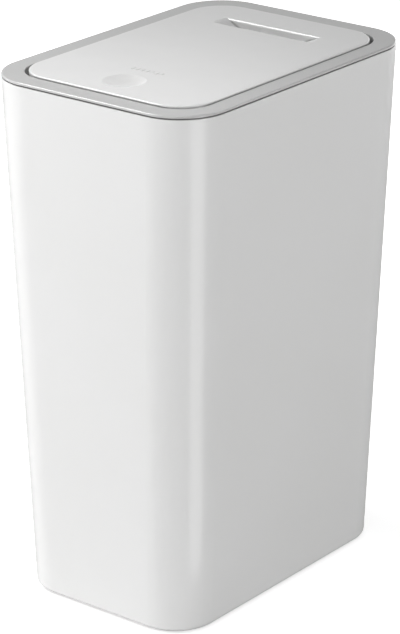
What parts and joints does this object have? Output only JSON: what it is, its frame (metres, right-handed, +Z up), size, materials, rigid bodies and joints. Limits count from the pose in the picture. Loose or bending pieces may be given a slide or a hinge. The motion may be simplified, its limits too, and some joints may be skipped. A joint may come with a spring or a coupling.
{
  "type": "push top countertop bin",
  "caption": "Slim tapered kitchen bin with a lift-off collar and a flush lid that springs open when its front is pressed.",
  "frame": {"origin": "centre of the footprint, on the ground under the rubber feet", "axes": "+Z up, the front with the press dimple towards -Y, the hinge towards +Y, +X to the right seen from the front"},
  "size_m": [0.159, 0.224, 0.3337],
  "materials": {
    "white_plastic": "moulded, satin gloss",
    "grey_plastic": "moulded, satin",
    "latch_plastic": "acetal, satin",
    "steel": "drawn",
    "rubber": "matt"
  },
  "bodies": {
    "bucket": {"bin_body": "white_plastic", "anti_slip_feet": "rubber"},
    "bag_ring": {"bag_ring": "grey_plastic"},
    "collar": {"rim_ring": "grey_plastic", "lid_buffers": "rubber", "rod_plugs": "latch_plastic", "torsion_spring_right": "steel", "torsion_spring_left": "steel", "latch_housing": "latch_plastic", "latch_screws": "steel", "latch_cover": "latch_plastic", "latch_cover_screws": "steel", "latch_spring": "steel"},
    "rod": {"hinge_rod": "steel"},
    "lid": {"lid_panel": "white_plastic", "lid_cover_screws": "steel", "lid_inner_cover": "white_plastic", "lid_striker": "latch_plastic", "striker_screws": "steel"},
    "slider": {"latch_slider": "latch_plastic"},
    "cam_pin": {"latch_cam_pin": "steel"}
  },
  "joints": [
    {"name": "collar_lift", "type": "slide", "parent": "bucket", "child": "collar", "axis": [0, 0, 1], "range_m": [0, 0.08]},
    {"name": "bag_ring_lift", "type": "slide", "parent": "bucket", "child": "bag_ring", "axis": [0, 0, 1], "range_m": [0, 0.04]},
    {"name": "lid_press", "type": "hinge", "parent": "collar", "child": "rod", "pos_m": [0, 0.0755, 0.3287], "axis": [-1, 0, 0], "range_deg": [-0.62, 0], "stiffness_Nm_per_rad": 15, "springref_deg": 2.01, "deforming": ["latch_spring", "lid_buffers"]},
    {"name": "lid_hinge", "type": "hinge", "parent": "rod", "child": "lid", "pos_m": [0, 0.0755, 0.3287], "axis": [-1, 0, 0], "range_deg": [0, 80], "deforming": ["torsion_spring_right", "torsion_spring_left"]},
    {"name": "latch_plunge", "type": "slide", "parent": "collar", "child": "slider", "axis": [0, 0, 1], "range_m": [-0.0018, 0]},
    {"name": "cam_pin_swing", "type": "hinge", "parent": "collar", "child": "cam_pin", "pos_m": [0, -0.0853, 0.2986], "axis": [0, 1, 0], "range_deg": [0, 5.3]}
  ],
  "couplings": [
    {"joint": "bag_ring_lift", "follows": "collar_lift", "ratio": 0.5},
    {"joint": "latch_plunge", "follows": "lid_press", "m_per_rad": 0.166},
    {"joint": "cam_pin_swing", "follows": "lid_press", "ratio": -8.5}
  ]
}
